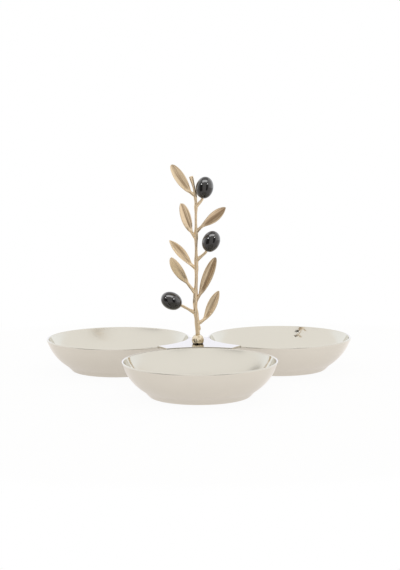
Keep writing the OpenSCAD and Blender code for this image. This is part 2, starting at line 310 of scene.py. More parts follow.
# %% Brass for the branch
MIDRIB_SHARP = 60.0
# Painted shade right of the midrib: how far right it is centred, and how narrow it is
SIDE_SHADE_RIGHT, SIDE_SHADE_SHARP = 0.25, 4.0
DEEP_BRASS, PALE_BRASS = (0.28, 0.195, 0.12), (0.85, 0.695, 0.485)
midrib = (across * across * -MIDRIB_SHARP).sum("EXPONENT") * blade
# Painted shade: darkest right of the midrib, where less light falls, so the blade's edges are paler
from_side_shade = across + SIDE_SHADE_RIGHT
painted_side_shade = (from_side_shade * from_side_shade * -SIDE_SHADE_SHARP).sum("EXPONENT") * blade
# Each whole leaf is also painted lighter or darker, for the light it catches
tone = 0.62 + 0.4 * patches - 0.5 * painted_side_shade - 0.08 * midrib - painted_leaf_shade
tone = tone + blade * ((veins - 0.5) * 1.4 + (streaks - 0.5) * 1.5)
link(graph, graph.mix(tone.ease(-0.1, 1.1), DEEP_BRASS, PALE_BRASS), shader, "Base Color")
link(graph, 0.28 + 0.08 * patches + 0.02 * grain, shader, "Roughness")
relief = grain * 0.012 + blade * veins * 1.2 - midrib * 0.25
bump(graph, shader, relief, strength=0.4, distance=0.3 * MM)
print("made", brass.name)

# %% [markdown]
# ### Polished brass
# The ball is the same brass under a mirror polish, a little wavy from hand work. Where the ball seats
# on the plate, a thin band of near black is painted in: painted shade where ball and plate meet. The
# band follows the height above the plate, which the frame gives.

# %% Polished brass for the ball
PLATE_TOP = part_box("base_ball")[0][2]
SEAT_SHADE_FULL, SEAT_SHADE_GONE = 0.5 * MM, 1.7 * MM
polished, graph, shader = finish("polished_brass", (0.86, 0.69, 0.43), roughness=0.05)
place = object_place(graph)
haze = noise(graph, place, scale=160.0, detail=3.0)
# Painted shade where the ball meets the plate: near black at the seat, gone a little higher up
seat_shade = 1.0 - (graph.xyz(place)[2] - PLATE_TOP).ease(SEAT_SHADE_FULL, SEAT_SHADE_GONE)
yellow = graph.mix(haze.ease(0.35, 0.6), (0.46, 0.36, 0.23), (0.84, 0.74, 0.56))
link(graph, graph.mix(seat_shade, yellow, (0.035, 0.018, 0.008)), shader, "Base Color")
link(graph, 0.06 + 0.06 * haze, shader, "Roughness")
bump(graph, shader, noise(graph, place, scale=330.0, detail=0.0), strength=1.0, distance=2 * MM)
print("made", polished.name)

# %% [markdown]
# ### Black glaze
# The olives are glossy black. Plain black with a low roughness would look like plastic, so the finish has
# two layers as a glaze has: a dark body that shines little, and a clear coat over it that carries the
# glints.

# %% Glaze for the olives
glaze, graph, shader = finish("black_glaze", (0.006, 0.006, 0.006), roughness=0.1, metallic=0.0,
                              Specular_IOR_Level=0.16, Coat_Weight=1.0, Coat_Roughness=0.03)
place = object_place(graph)
mottle = noise(graph, place, scale=260.0, detail=3.0)
link(graph, graph.mix(mottle, (0.004, 0.004, 0.004), (0.011, 0.010, 0.010)), shader, "Base Color")
link(graph, 0.06 + 0.10 * mottle, shader, "Roughness")
bump(graph, shader, noise(graph, place, scale=180.0, detail=1.0), strength=0.08, distance=0.3 * MM)
print("made", glaze.name)

# %% [markdown]
# ### Turned steel
# The screw and its washer under the plate are plain steel. A cutting tool leaves fine lines on it, so the
# noise is drawn out along one direction.

# %% Steel for the screw and the washer
LINES_DRAWN_OUT = (0.15, 1.0, 1.0)
steel, graph, shader = finish("turned_steel", (0.60, 0.60, 0.61), roughness=0.3)
lines = noise(graph, object_place(graph) * LINES_DRAWN_OUT, scale=2600.0)
link(graph, graph.mix(lines, (0.52, 0.52, 0.53), (0.66, 0.66, 0.67)), shader, "Base Color")
link(graph, 0.24 + 0.14 * lines, shader, "Roughness")
bump(graph, shader, lines, strength=0.1, distance=0.1 * MM)
print("made", steel.name)

# %% [markdown]
# ## Running a node tree over a wire
# Most pieces of the dish follow a rule: a bowl, the ball and an olive are a profile turned about an axis,
# and the stem, the leaves and the stalks are a section carried along a path. Two Geometry Nodes trees do
# this. The script lays a wire of points, the tree makes the skin, and the result is kept as a plain mesh.

# %% How a tree starts and ends
MERGE_WITHIN = 0.002 * MM


def node_tree(name, inputs):
    tree = bpy.data.node_groups.new(name, "GeometryNodeTree")
    for label, kind in [("Wire", "Geometry"), *inputs, ("Material", "Material")]:
        tree.interface.new_socket(name=label, in_out="INPUT", socket_type="NodeSocket" + kind)
    tree.interface.new_socket(name="Skin", in_out="OUTPUT", socket_type="NodeSocketGeometry")
    graph = Graph(tree)
    return graph, graph.add("NodeGroupInput")


def close_tree(graph, skin, given):
    """Merges the seam and the poles, smooths the shading and sets the material."""
    skin = graph.add("GeometryNodeMergeByDistance", inputs={"Geometry": skin, "Distance": MERGE_WITHIN})
    skin = graph.add("GeometryNodeSetShadeSmooth", inputs={"Geometry": skin})
    skin = graph.add("GeometryNodeRealizeInstances", inputs={"Geometry": skin})
    skin = graph.add("GeometryNodeSetMaterial", inputs={"Geometry": skin, "Material": given["Material"]})
    graph.add("NodeGroupOutput", inputs={"Skin": skin})


print("points closer than", MERGE_WITHIN / MM, "mm are merged")


# %% What a tree reads and keeps
def skin_grid(graph, given):
    """A grid to be bent into a skin, its turn from 0 to 1, and its number of the wire's point."""
    count = graph.add("GeometryNodeAttributeDomainSize", inputs={"Geometry": given["Wire"]},
                      output="Point Count")
    grid = graph.add("GeometryNodeMeshGrid", inputs={"Size X": 1.0, "Size Y": 1.0,
                                                     "Vertices X": given["Around"] + 1, "Vertices Y": count})
    x, y, _ = graph.xyz(graph.add("GeometryNodeInputPosition"))
    number = ((y + 0.5) * (count - 1)).sum("ROUND")
    return grid, x + 0.5, number


def at_point(graph, given, number, value, kind):
    return graph.add("GeometryNodeSampleIndex", {"data_type": kind},
                     {"Geometry": given["Wire"], "Value": value, "Index": number})


def wire_place(graph, given, number):
    return at_point(graph, given, number, graph.add("GeometryNodeInputPosition"), "FLOAT_VECTOR")


def wire_value(graph, given, number, name, kind="FLOAT"):
    """What the wire says under that name at its point of that number."""
    value = graph.add("GeometryNodeInputNamedAttribute", {"data_type": kind}, {"Name": name}, "Attribute")
    return at_point(graph, given, number, value, kind)


def keep(graph, skin, name, value):
    return graph.add("GeometryNodeStoreNamedAttribute", {"data_type": "FLOAT"},
                     {"Geometry": skin, "Name": name, "Value": value})


print("trees can read a wire and keep values on the skin")


# %% Laying the wire and running the tree
def lay_wire(name, points, notes):
    """Points joined in a row. Each note is a list with one number or vector for each point."""
    mesh = bpy.data.meshes.new(name)
    mesh.from_pydata(points, [(i, i + 1) for i in range(len(points) - 1)], [])
    for label, values in notes.items():
        vector = hasattr(values[0], "__len__")
        layer = mesh.attributes.new(label, "FLOAT_VECTOR" if vector else "FLOAT", "POINT")
        layer.data.foreach_set("vector" if vector else "value",
                               [c for v in values for c in v] if vector else values)
    return add_object(name, mesh)


def run_tree(graph, name, points, sizes, notes):
    """Lays the wire, sets the tree's inputs, and returns the plain mesh piece."""
    piece = lay_wire(name, points, notes)
    modifier = piece.modifiers.new("tree", "NODES")
    modifier.node_group = graph.tree
    for item in graph.tree.interface.items_tree:
        if item.in_out == "INPUT" and item.name in sizes:
            modifier[item.identifier] = sizes[item.name]
    made = bpy.data.meshes.new_from_object(piece.evaluated_get(bpy.context.evaluated_depsgraph_get()))
    piece.modifiers.remove(modifier)
    piece.data = made
    made.name = name
    return piece


def place_piece(piece, slot, *nodes):
    """The piece rides on the dish and stands for CAD nodes. Its slot is not used."""
    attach(piece, "root")
    if nodes:
        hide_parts(*nodes)
    print("made", piece.name, len(piece.data.polygons), "faces")


print("wires can be run")

# %% A tree that turns a profile
turned, given = node_tree("Turned profile", [("Around", "Int"), ("Foot", "Vector"), ("Side", "Vector"),
                                             ("Front", "Vector"), ("Axis", "Vector")])
grid, turn, number = skin_grid(turned, given)
out, _, up = turned.xyz(wire_place(turned, given, number))
angle = turn * (2 * pi)
cosine, sine = angle.sum("COSINE"), angle.sum("SINE")
where = given["Foot"] + given["Side"] * (out * cosine) + given["Front"] * (out * sine) + given["Axis"] * up
skin = keep(turned, grid, "from_axis", out)
skin = keep(turned, skin, "sideways", cosine)
skin = turned.add("GeometryNodeSetPosition", inputs={"Geometry": skin, "Position": where})
close_tree(turned, skin, given)


def turn_piece(name, profile, around, foot, material, axes=((1, 0, 0), (0, 1, 0), (0, 0, 1))):
    """Turns a profile, upright unless other axes are given: to the side, to the front and up."""
    side, front, axis = (tuple(float(c) for c in way) for way in axes)
    sizes = {"Around": around, "Foot": foot, "Side": side, "Front": front, "Axis": axis,
             "Material": material}
    return run_tree(turned, name, profile, sizes, {})


print("tree:", turned.tree.name)

# %% [markdown]
# ## Bowls
# A bowl is one round of sheet pressed over a former on a lathe: a flat base, a short cone for the foot,
# and a wall that curves up to a rounded bead. Modelling it by hand would be slow, because mirror metal
# shows every dent. So the line through the middle of the sheet is drawn from lines and arcs, both faces
# lie half the sheet's thickness to its sides, the outer one swells into the bead, and the tree turns this
# profile.

# %% Sizes of a bowl
def node_box(node):
    """A CAD node's lowest corner, its highest corner and its middle."""
    low, high = (Vector(c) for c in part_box(node))
    return low, high, (low + high) / 2


low, high, _ = node_box("bowl_front")
RIM_R, BOWL_H = (high.x - low.x) / 2, high.z
HALF_SHEET = 0.9 * MM
BEAD_R, BEAD_GROWS = 1.2 * MM, 4 * MM
BASE_R, BASE_BEND = 47.5 * MM, 2.2 * MM
FOOT_R, FOOT_H, FOOT_BEND = 52.25 * MM, 6 * MM, 4 * MM
WALL_ARC_R = 47 * MM
print("rim radius", round(RIM_R / MM, 2), "height", round(BOWL_H / MM, 2), "mm")

# %% The bowl's corners and the middle of its wall's arc
edge = Vector((RIM_R - BEAD_R, BOWL_H - BEAD_R))
kink = Vector((FOOT_R, FOOT_H))
turn_up = Vector((BASE_R, HALF_SHEET))
chord = edge - kink
arc_off = sqrt(WALL_ARC_R ** 2 - chord.length_squared / 4)
arc_middle = (edge + kink) / 2 + arc_off * Vector((-chord.y, chord.x)) / chord.length
print("wall arc about", [round(c / MM, 2) for c in arc_middle], "mm")


# %% Blends and even steps
def ease(x):
    """0 below 0, 1 above 1, smooth between them."""
    u = min(1, max(0, x))
    return u * u * (3 - 2 * u)


def mix(a, b, x):
    return a + (b - a) * x


def spread(first, last, steps):
    """Values from first to last in even steps, with both ends."""
    return [first + (last - first) * k / steps for k in range(steps + 1)]


print("half way:", ease(0.5), mix(0, 1, 0.5), spread(0, 1, 2)[1])

# %% The line through the middle of the sheet
BASE_STEPS, CORNER_STEPS, WALL_STEPS = 10, 8, 48


def corner(middle, before, after, bend):
    """A soft bend at a corner: places and outward normals from one direction to the next."""
    a, b = atan2(before.y, before.x), atan2(after.y, after.x)
    back = bend * abs(sin((b - a) / 2) / cos((b - a) / 2))
    turn_way = 1 if b > a else -1
    pivot = middle - before * back + turn_way * bend * Vector((-before.y, before.x))
    normals = [Vector((sin(t), -cos(t))) for t in spread(a, b, CORNER_STEPS)]
    return [(pivot + turn_way * bend * normal, normal) for normal in normals]


def sheet_line():
    """Places on the middle of the sheet with their outward normals, from the axis to the rim."""
    foot_way = (kink - turn_up).normalized()
    spoke = kink - arc_middle
    wall_way = Vector((-spoke.y, spoke.x)).normalized()
    line = [(Vector((x, HALF_SHEET)), Vector((0, -1))) for x in spread(0, BASE_R, BASE_STEPS)[:-1]]
    line += corner(turn_up, Vector((1, 0)), foot_way, BASE_BEND)
    line += corner(kink, foot_way, wall_way, FOOT_BEND)
    first, last = (atan2(p.y - arc_middle.y, p.x - arc_middle.x) for p in (line[-1][0], edge))
    normals = [Vector((cos(t), sin(t))) for t in spread(first, last, WALL_STEPS)[1:]]
    return line + [(arc_middle + WALL_ARC_R * normal, normal) for normal in normals]


print("points on the sheet's line:", len(sheet_line()))

# %% Three bowls
BEAD_STEPS, BOWL_SIDES = 12, 192


def bowl_profile():
    """Out along the lower face, round the bead, and back along the upper face."""
    line = sheet_line()
    end, normal = line[-1]
    swell = [ease(1 - (p - end).length / BEAD_GROWS) for p, _ in line]
    outside = [p + mix(HALF_SHEET, BEAD_R, s) * n for (p, n), s in zip(line, swell)]
    inside = [p - HALF_SHEET * n for p, n in reversed(line)]
    start = atan2(normal.y, normal.x)
    turns = spread(start, start + pi, BEAD_STEPS)
    radii = spread(BEAD_R, HALF_SHEET, BEAD_STEPS)
    round_edge = [end + r * Vector((cos(t), sin(t))) for t, r in zip(turns, radii)]
    return [(p.x, 0, p.y) for p in outside + round_edge[1:-1] + inside]


for node in ("bowl_front", "bowl_left", "bowl_right"):
    low, _, middle = node_box(node)
    bowl = turn_piece(node + "_spun", bowl_profile(), BOWL_SIDES, (middle.x, middle.y, low.z), nickel)
    place_piece(bowl, "nickel", node)

# %% [markdown]
# ## Centre plate
# The plate fills the curved triangle between the three rims and stands a little proud of them. Its
# outline is three arcs along the bowls with three short straight ends between them. It is built as a
# mesh, because one flat outline with eased edges is simpler in code than in a node tree.

# %% Where the bowls and the hub stand
hub = node_box("base_ball")[2]
BALL_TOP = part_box("base_ball")[1][2]
centres = [node_box(node)[2].to_2d() for node in ("bowl_front", "bowl_right", "bowl_left")]
plate_middle = sum(centres, Vector((0, 0))) / 3
ends_far = ((centres[0] + centres[1]) / 2 - plate_middle).length
print("hub at", [round(c / MM, 2) for c in hub.to_2d()], "plate at", round(PLATE_TOP / MM, 2), "mm")

# %% An arc along a rim
PLATE_REACH = 42 * MM


def rim_arc(i, radius, steps, short=0.0):
    """Points on a circle about a bowl along the plate, from one end of the plate to the other."""
    middle = centres[i]
    a, b = ((centres[j] - middle).normalized() for j in ((i - 1) % 3, (i + 1) % 3))
    start = atan2(a.y, a.x)
    swing = (atan2(b.y, b.x) - start + pi) % (2 * pi) - pi
    inset = copysign(asin((ends_far - PLATE_REACH + short) / radius), swing)
    turns = spread(start + inset, start + swing - inset, steps)
    return [middle + radius * Vector((cos(t), sin(t))) for t in turns]


print("arc along the plate from", [round(c / MM, 2) for c in rim_arc(0, RIM_R, 1)[0]], "mm")

# %% The plate
PLATE_T, PLATE_EASE, SOLDER_GAP, PLATE_STEPS = 2 * MM, 0.2 * MM, 0.1 * MM, 40
PLATE_LOW = PLATE_TOP - PLATE_T


def plate_loop(short, z):
    """The outline at a height, drawn in by a little where the edge is eased."""
    radius = RIM_R + SOLDER_GAP + short
    return [(p.x, p.y, z) for i in range(3) for p in rim_arc(i, radius, PLATE_STEPS, short)]


loops = [plate_loop(PLATE_EASE, PLATE_LOW), plate_loop(0, PLATE_LOW + PLATE_EASE),
         plate_loop(0, PLATE_TOP - PLATE_EASE), plate_loop(PLATE_EASE, PLATE_TOP)]
count = len(loops[0])
faces = [tuple(reversed(range(count))), tuple(range(3 * count, 4 * count))]
for start in (0, count, 2 * count):
    for i in range(count):
        after = (i + 1) % count
        faces.append((start + i, start + after, start + count + after, start + count + i))
mesh = bpy.data.meshes.new("centre_plate_cut")
mesh.from_pydata([p for loop in loops for p in loop], [], faces)
mesh.materials.append(nickel)
place_piece(add_object("centre_plate_cut", mesh), "nickel", "centre_plate")

# %% [markdown]
# ## A section carried along a path
# The stem, leaves, stalks and solder seams are all a closed section that moves along a curve and changes
# on the way. The wire's points carry what the section needs there: how wide and how thick it is, which
# way its flat side looks, how far it is folded and how high its ribs are. The tree lays the ring of
# points.

# %% A tree that carries a section
carried, given = node_tree("Carried section", [
    ("Around", "Int"), ("Fold round", "Float"), ("Rib width", "Float"), ("Lumps", "Float"),
    ("Lump scale", "Float")])
grid, turn, number = skin_grid(carried, given)
middle = wire_place(carried, given, number)
flat, face = (wire_value(carried, given, number, name, "FLOAT_VECTOR") for name in ("flat", "face"))
wide, thick, fold, rib, share, leafy = (wire_value(carried, given, number, name) for name in
                                        ("wide", "thick", "fold", "rib", "share", "leafy"))
angle = turn * (2 * pi)
cosine, sine = angle.sum("COSINE"), angle.sum("SINE")
fold_round, rib_width = given["Fold round"], given["Rib width"]
x = wide * cosine
rise = fold * ((x * x + fold_round * fold_round).sum("SQRT") - fold_round)
ridge = rib * (x * x / (rib_width * rib_width) * -1.0).sum("EXPONENT")
y = thick * sine + rise - ridge * (0.0 - sine).ease(-0.2, 0.6)
lump = (noise(carried, middle, given["Lump scale"]) - 0.5) * given["Lumps"]
where = middle + flat * (x + lump * cosine) + face * (y + lump * sine)
skin = keep(carried, grid, "across", cosine)
skin = keep(carried, skin, "along", share)
skin = keep(carried, skin, "blade", leafy)
skin = carried.add("GeometryNodeSetPosition", inputs={"Geometry": skin, "Position": where})
close_tree(carried, skin, given)
print("tree:", carried.tree.name)

# %% Rings along a path
FOLD_ROUND, RIB_WIDTH = 0.4 * MM, 1 * MM


def ring(middle, flat, face, wide, thick, fold=0.0, rib=0.0, share=0.0, leafy=0.0):
    """What the section needs at one point of its path."""
    return {"middle": middle, "flat": flat, "face": face, "wide": wide, "thick": thick, "fold": fold,
            "rib": rib, "share": share, "leafy": leafy}


def carry(name, rings, around, material, lumps=0.0, lump_scale=300.0):
    """Runs the tree over rings, with a point added at each end to close the skin."""
    tips = [{**one, "wide": 0.0, "thick": 0.0} for one in (rings[0], rings[-1])]
    rings = [tips[0], *rings, tips[1]]
    notes = {label: [one[label] for one in rings] for label in rings[0]}
    sizes = {"Around": around, "Fold round": FOLD_ROUND, "Rib width": RIB_WIDTH, "Lumps": lumps,
             "Lump scale": lump_scale, "Material": material}
    return run_tree(carried, name, notes.pop("middle"), sizes, notes)


print("a ring carries", len(ring(0, 0, 0, 0, 0)), "values")


# %% Directions on a path
def cubic(p, u):
    return (1 - u) ** 3 * p[0] + 3 * u * (1 - u) ** 2 * p[1] + 3 * u * u * (1 - u) * p[2] + u ** 3 * p[3]


def cubic_way(p, u):
    first, second, third = (p[k + 1] - p[k] for k in range(3))
    return ((1 - u) ** 2 * first + 2 * u * (1 - u) * second + u * u * third).normalized()


def facing(ahead):
    """The flat side's direction and the face's, for a path that heads that way and looks to the front."""
    flat = Vector((0, -1, 0)).cross(ahead).normalized()
    return flat, ahead.cross(flat)


print("an upright path has its flat side along", tuple(facing(Vector((0, 0, 1)))[0]))

# %% [markdown]
# ## Solder seams
# Where the plate meets a bowl, solder has drawn itself into a thin fillet: one in the groove over the
# bead and one under the plate. Each fillet is a small round section carried along the arc of the rim,
# uneven as a seam made by hand. From the front the seam on the near rim shows as a dark line.

# %% Fillets along the rims
SEAM_R, SEAM_DOWN, SEAM_IN = 0.55 * MM, 0.3 * MM, 0.15 * MM
SEAM_STEPS, SEAM_SIDES = 60, 12
for i, side in enumerate(("front", "right", "left")):
    for label, z in (("top", BOWL_H - SEAM_DOWN), ("under", PLATE_LOW)):
        line = [Vector((p.x, p.y, z)) for p in rim_arc(i, RIM_R - SEAM_IN, SEAM_STEPS)]
        rings = []
        for k, p in enumerate(line):
            ahead = (line[min(k + 1, SEAM_STEPS)] - line[max(k - 1, 0)]).normalized()
            flat = Vector((0, 0, 1)).cross(ahead).normalized()
            rings.append(ring(p, flat, ahead.cross(flat), SEAM_R, SEAM_R))
        seam = carry(f"solder_{side}_{label}", rings, SEAM_SIDES, solder, lumps=0.45 * MM, lump_scale=130.0)
        place_piece(seam, "nickel")

# %% [markdown]
# ## Ball
# A polished ball stands between the plate and the branch. It is turned on a lathe with a flat below,
# where it seats on the plate, and a small flat above that takes the stem, so it is a profile for the
# first tree.

# %% The ball
BALL_R, SEAT_R, TOP_R = 6.1 * MM, 5 * MM, 2.6 * MM
# How much of each flat's radius is level, before its edge
SEAT_LEVEL, TOP_LEVEL = 0.97, 0.94
BALL_STEPS, BALL_SIDES = 48, 96
ball_middle = PLATE_TOP + sqrt(BALL_R ** 2 - SEAT_R ** 2)
first, last = -atan2(ball_middle - PLATE_TOP, SEAT_R), atan2(BALL_TOP - ball_middle, TOP_R)
profile = [(0, 0, PLATE_TOP), (SEAT_R * SEAT_LEVEL, 0, PLATE_TOP)]
profile += [(BALL_R * cos(t), 0, ball_middle + BALL_R * sin(t)) for t in spread(first, last, BALL_STEPS)]
profile += [(TOP_R * TOP_LEVEL, 0, BALL_TOP), (0, 0, BALL_TOP)]
ball = turn_piece("base_ball_turned", profile, BALL_SIDES, (hub.x, hub.y, 0.0), polished)
place_piece(ball, "polished_brass", "base_ball")

# %% [markdown]
# ## Stem
# The stem rises from the ball, wanders a little to the left, swells at every knot where a leaf or a stalk
# leaves it, and ends in a flat blunt bud. It could be sculpted, but leaves and stalks have to meet it, so
# its way is a smooth curve through nine points, given as shares of its height, that they can ask for a
# place. A little noise in the radius gives the uneven skin of a casting.

# %% The stem's way
STEM_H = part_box("stem")[1][2] - BALL_TOP
branch_foot = Vector((hub.x, hub.y, BALL_TOP))
STEM_WAY = [Vector(p) * STEM_H for p in (
    (0, 0, 0), (-0.0038, 0.0013, 0.0757), (-0.0155, 0.0032, 0.1956), (-0.0076, 0, 0.3596),
    (-0.0073, -0.0032, 0.5931), (-0.0082, 0, 0.7382), (-0.0073, 0.0025, 0.8265), (-0.0161, 0.0013, 0.9148),
    (-0.0366, -0.0038, 1))]


def way_slope(i):
    a, b = STEM_WAY[max(0, i - 1)], STEM_WAY[min(len(STEM_WAY) - 1, i + 1)]
    return (b - a) / (b.z - a.z)


def stem_at(z):
    """The stem's middle at a height above the ball."""
    i = 0
    while i < len(STEM_WAY) - 2 and z >= STEM_WAY[i + 1].z:
        i += 1
    a, b = STEM_WAY[i], STEM_WAY[i + 1]
    length = b.z - a.z
    u = (z - a.z) / length
    bend = way_slope(i) * u * (1 - u) ** 2 - way_slope(i + 1) * u * u * (1 - u)
    p = a + (b - a) * ease(u) + length * bend
    return Vector((p.x, p.y, z))


print("stem of", round(STEM_H / MM, 1), "mm through", len(STEM_WAY), "points")

# %% The stem's knots and thickness
# Angles are in degrees, and a side is 1 for right and -1 for left. A leaf: height as a share of the
# stem's, side, rise of its petiole, petiole's length as a share of a blade's, rise of the blade, lean to
# the front, roll about its length, and the power of its outline, where less is fuller
LEAVES = [(0.0707, 1, 17, 0.282, 66, -6, -36, 0.6), (0.2118, 1, 51, 0.318, 68, -8, -27, 0.5),
          (0.2646, -1, 50, 0.408, 60, 17, -23, 0.47), (0.4203, -1, 32, 0.226, 49, -16, 40, 0.69),
          (0.6112, -1, 51, 0.315, 73, 26, 28, 0.42), (0.6482, 1, 48, 0.288, 35, -27, 20, 0.67),
          (0.8782, -1, 29, 0.251, 58, -17, 23, 0.47)]
# A stalk: height as a share of the stem's, side, rise, length as a share of an olive's diameter, rise of
# its olive, and lean to the front
STALKS = [(0.1354, -1, 30, 1.008, 27, 10), (0.4705, 1, 45, 0.867, 65, 15), (0.8074, 1, 54, 0.653, 79, 10)]
KNOTS = [row[0] * STEM_H for row in LEAVES + STALKS]
STEM_BASE_R, STEM_THIN_R, KNOT_SWELL, KNOT_HALF = 2.2 * MM, 1.25 * MM, 0.6 * MM, 4 * MM


def stem_r(z):
    """The stem's radius at a height above the ball, before the bud flattens it."""
    taper = mix(STEM_THIN_R, STEM_BASE_R, (1 - min(1, z / STEM_H)) ** 2)
    return taper + KNOT_SWELL * sum(exp(-((z - knot) / KNOT_HALF) ** 2) for knot in KNOTS)


print(len(KNOTS), "knots, radius half way up", round(stem_r(STEM_H / 2) / MM, 2), "mm")

# %% The stem
BUD_L, BUD_HALF_W, BUD_HALF_T = 13 * MM, 2.1 * MM, 0.9 * MM
STEM_STEPS, STEM_SIDES = 180, 32
# The stem's direction at a height is taken from this far below to this far above
LOOK = 0.5 * MM
rings = []
for z in spread(0, STEM_H, STEM_STEPS):
    flat, face = facing((stem_at(z + LOOK) - stem_at(z - LOOK)).normalized())
    bud = ease((z - STEM_H + BUD_L) / BUD_L)
    wide, thick = (mix(stem_r(z), half, bud) for half in (BUD_HALF_W, BUD_HALF_T))
    rings.append(ring(branch_foot + stem_at(z), flat, face, wide, thick))
stem = carry("stem_cast", rings, STEM_SIDES, brass, lumps=0.35 * MM, lump_scale=260.0)
place_piece(stem, "brass", "stem")

# %% The stub of a pruned twig, low on the stem's right
STUB_R, STUB_HALF_H, STUB_OUT = 1.6 * MM, 2.6 * MM, 1.0 * MM
# Its height as a share of the stem's
STUB_AT, STUB_SIDES = 0.042, 20
# From inside the stem to the round end: share of the way out, share of the full radius
STUB_SHAPE = ((-1.0, 1.0), (-0.2, 1.0), (0.25, 0.97), (0.5, 0.86), (0.7, 0.7), (0.85, 0.5), (0.95, 0.3))
stub_z = STUB_AT * STEM_H
flat, face = facing(Vector((1, 0, 0)))
rings = []
for reach, full in STUB_SHAPE:
    out = mix(stem_r(stub_z), stem_r(stub_z) + STUB_OUT, reach)
    middle = branch_foot + stem_at(stub_z) + Vector((out, 0, 0))
    rings.append(ring(middle, flat, face, STUB_HALF_H * full, STUB_R * full))
stub = carry("stub_cast", rings, STUB_SIDES, brass, lumps=0.2 * MM, lump_scale=420.0)
place_piece(stub, "brass")

# %% [markdown]
# ## Leaves
# Each leaf is one casting: a round petiole that widens into a long blade. The blade is folded a little
# along its midrib, has a rib on its back and turns about its own length, so no two leaves catch the light
# alike. The section starts as a circle, opens to a flat oval and closes again at the tip. A bent flat
# sheet would need a join at the petiole, and a carried section needs none. Each leaf begins at another
# place in the noise of the veins.

# %% Where a leaf or a stalk leaves the stem
FLARE, FLARE_L, FOOT_IN = 0.7 * MM, 4.5 * MM, 0.15 * MM


def heading(rise, lean, side):
    """A direction that rises, leans to the front and goes to one side."""
    a, b = radians(rise), radians(lean)
    return Vector((side * cos(a) * cos(b), -sin(b), sin(a) * cos(b)))


def flare(z, radius, distance):
    """How much wider a petiole or a stalk is where it runs into the stem."""
    return min(FLARE, stem_r(z) - radius - FOOT_IN) * exp(-(distance / FLARE_L) ** 2)


print("petioles and stalks widen by up to", round(FLARE / MM, 2), "mm at the stem")

# %% The sections of a leaf
LEAF_L, LONG_LEAF_L, LONG_LEAF = 32.5 * MM, 38.5 * MM, 1
LEAF_HALF_W, LEAF_HALF_T, LEAF_FOLD, RIB_H = 5.6 * MM, 0.65 * MM, 0.3, 0.5 * MM
TIP_R, PETIOLE_R, PETIOLE_PULL, BLADE_PULL = 0.4 * MM, 1.55 * MM, 1.25, 0.5
BELLY, NECK = 1.25, 0.22
LEAF_STEPS, VEINS_APART = 80, 3


def leaf_rings(i, share, side, petiole_rise, petiole_share, blade_rise, lean, roll, fullness):
    """From the middle of the stem to the tip. The steps grow shorter towards the tip."""
    z = share * STEM_H
    blade = (LONG_LEAF_L if i == LONG_LEAF else LEAF_L) * heading(blade_rise, lean, side)
    petiole = LEAF_L * petiole_share * heading(petiole_rise, lean / 2, side)
    foot = branch_foot + stem_at(z)
    tip = foot + petiole + blade
    way = [foot, foot + PETIOLE_PULL * petiole, tip - BLADE_PULL * blade, tip]
    whole = petiole.length + blade.length
    start = petiole.length / whole
    c, s = cos(radians(roll)), sin(radians(roll))
    rings = []
    for k in range(LEAF_STEPS + 1):
        u = sin(pi / 2 * k / LEAF_STEPS)
        t = max(0.0, (u - start) / (1 - start))
        flat, face = facing(cubic_way(way, u))
        round_r = mix(PETIOLE_R, TIP_R, t) + flare(z, PETIOLE_R, u * whole)
        wide = hypot(round_r, LEAF_HALF_W * max(0.0, sin(pi * t ** BELLY)) ** fullness)
        opens = ease(t / NECK)
        thick = mix(round_r, LEAF_HALF_T, opens * ease((1 - t) / NECK))
        rings.append(ring(cubic(way, u), c * flat + s * face, c * face - s * flat, wide, thick,
                          fold=LEAF_FOLD * opens, rib=RIB_H * opens, share=VEINS_APART * i + t, leafy=opens))
    return rings


print("sections of the first leaf:", len(leaf_rings(0, *LEAVES[0])))

# %% Seven leaves
LEAF_SIDES = 44
# Painted light and shade on each whole leaf, from the lowest leaf up: how much darker it is than plain brass
PAINTED_LEAF_SHADE = (-0.05, 0.24, -0.6, -0.07, -0.15, 0.3, 0.03)


def note(piece, label, value):
    """Writes one value to all points of a piece."""
    layer = piece.data.attributes.new(label, "FLOAT", "POINT")
    layer.data.foreach_set("value", [value] * len(piece.data.vertices))


for i, row in enumerate(LEAVES):
    leaf = carry(f"leaf_{i + 1}_cast", leaf_rings(i, *row), LEAF_SIDES, brass)
    # The leaf carries its painted light or shade as an attribute
    note(leaf, "painted_leaf_shade", PAINTED_LEAF_SHADE[i])
    place_piece(leaf, "brass", f"leaf_{i + 1}")

# %% [markdown]
# ## Stalks and olives
# Three stalks leave the stem and bend towards their olives. An olive is a long oval with a small dimple
# where the stalk goes in, turned about its own axis by the first tree. Glossy black shows each flaw in a
# reflection, so the profile has many points.

# %% The olive's profile
OLIVE_R, OLIVE_HALF_L = 8.75 * MM, 11.1 * MM
DIMPLE_R, DIMPLE_DEPTH = 3 * MM, 0.6 * MM
DIMPLE_STEPS, OLIVE_STEPS = 7, 64


def olive_profile():
    """From the stalk's end to the free end: the dimple, then half an oval."""
    start = DIMPLE_R / OLIVE_R
    lip = OLIVE_HALF_L * (1 - cos(start))
    profile = []
    for k in range(DIMPLE_STEPS):
        sunk = 0.5 * (1 + cos(pi * k / DIMPLE_STEPS))
        profile.append((DIMPLE_R * k / DIMPLE_STEPS, 0, mix(lip, DIMPLE_DEPTH, sunk)))
    for t in spread(start, pi, OLIVE_STEPS):
        profile.append((OLIVE_R * sin(t), 0, OLIVE_HALF_L * (1 - cos(t))))
    return profile


print("points on the olive's profile:", len(olive_profile()))

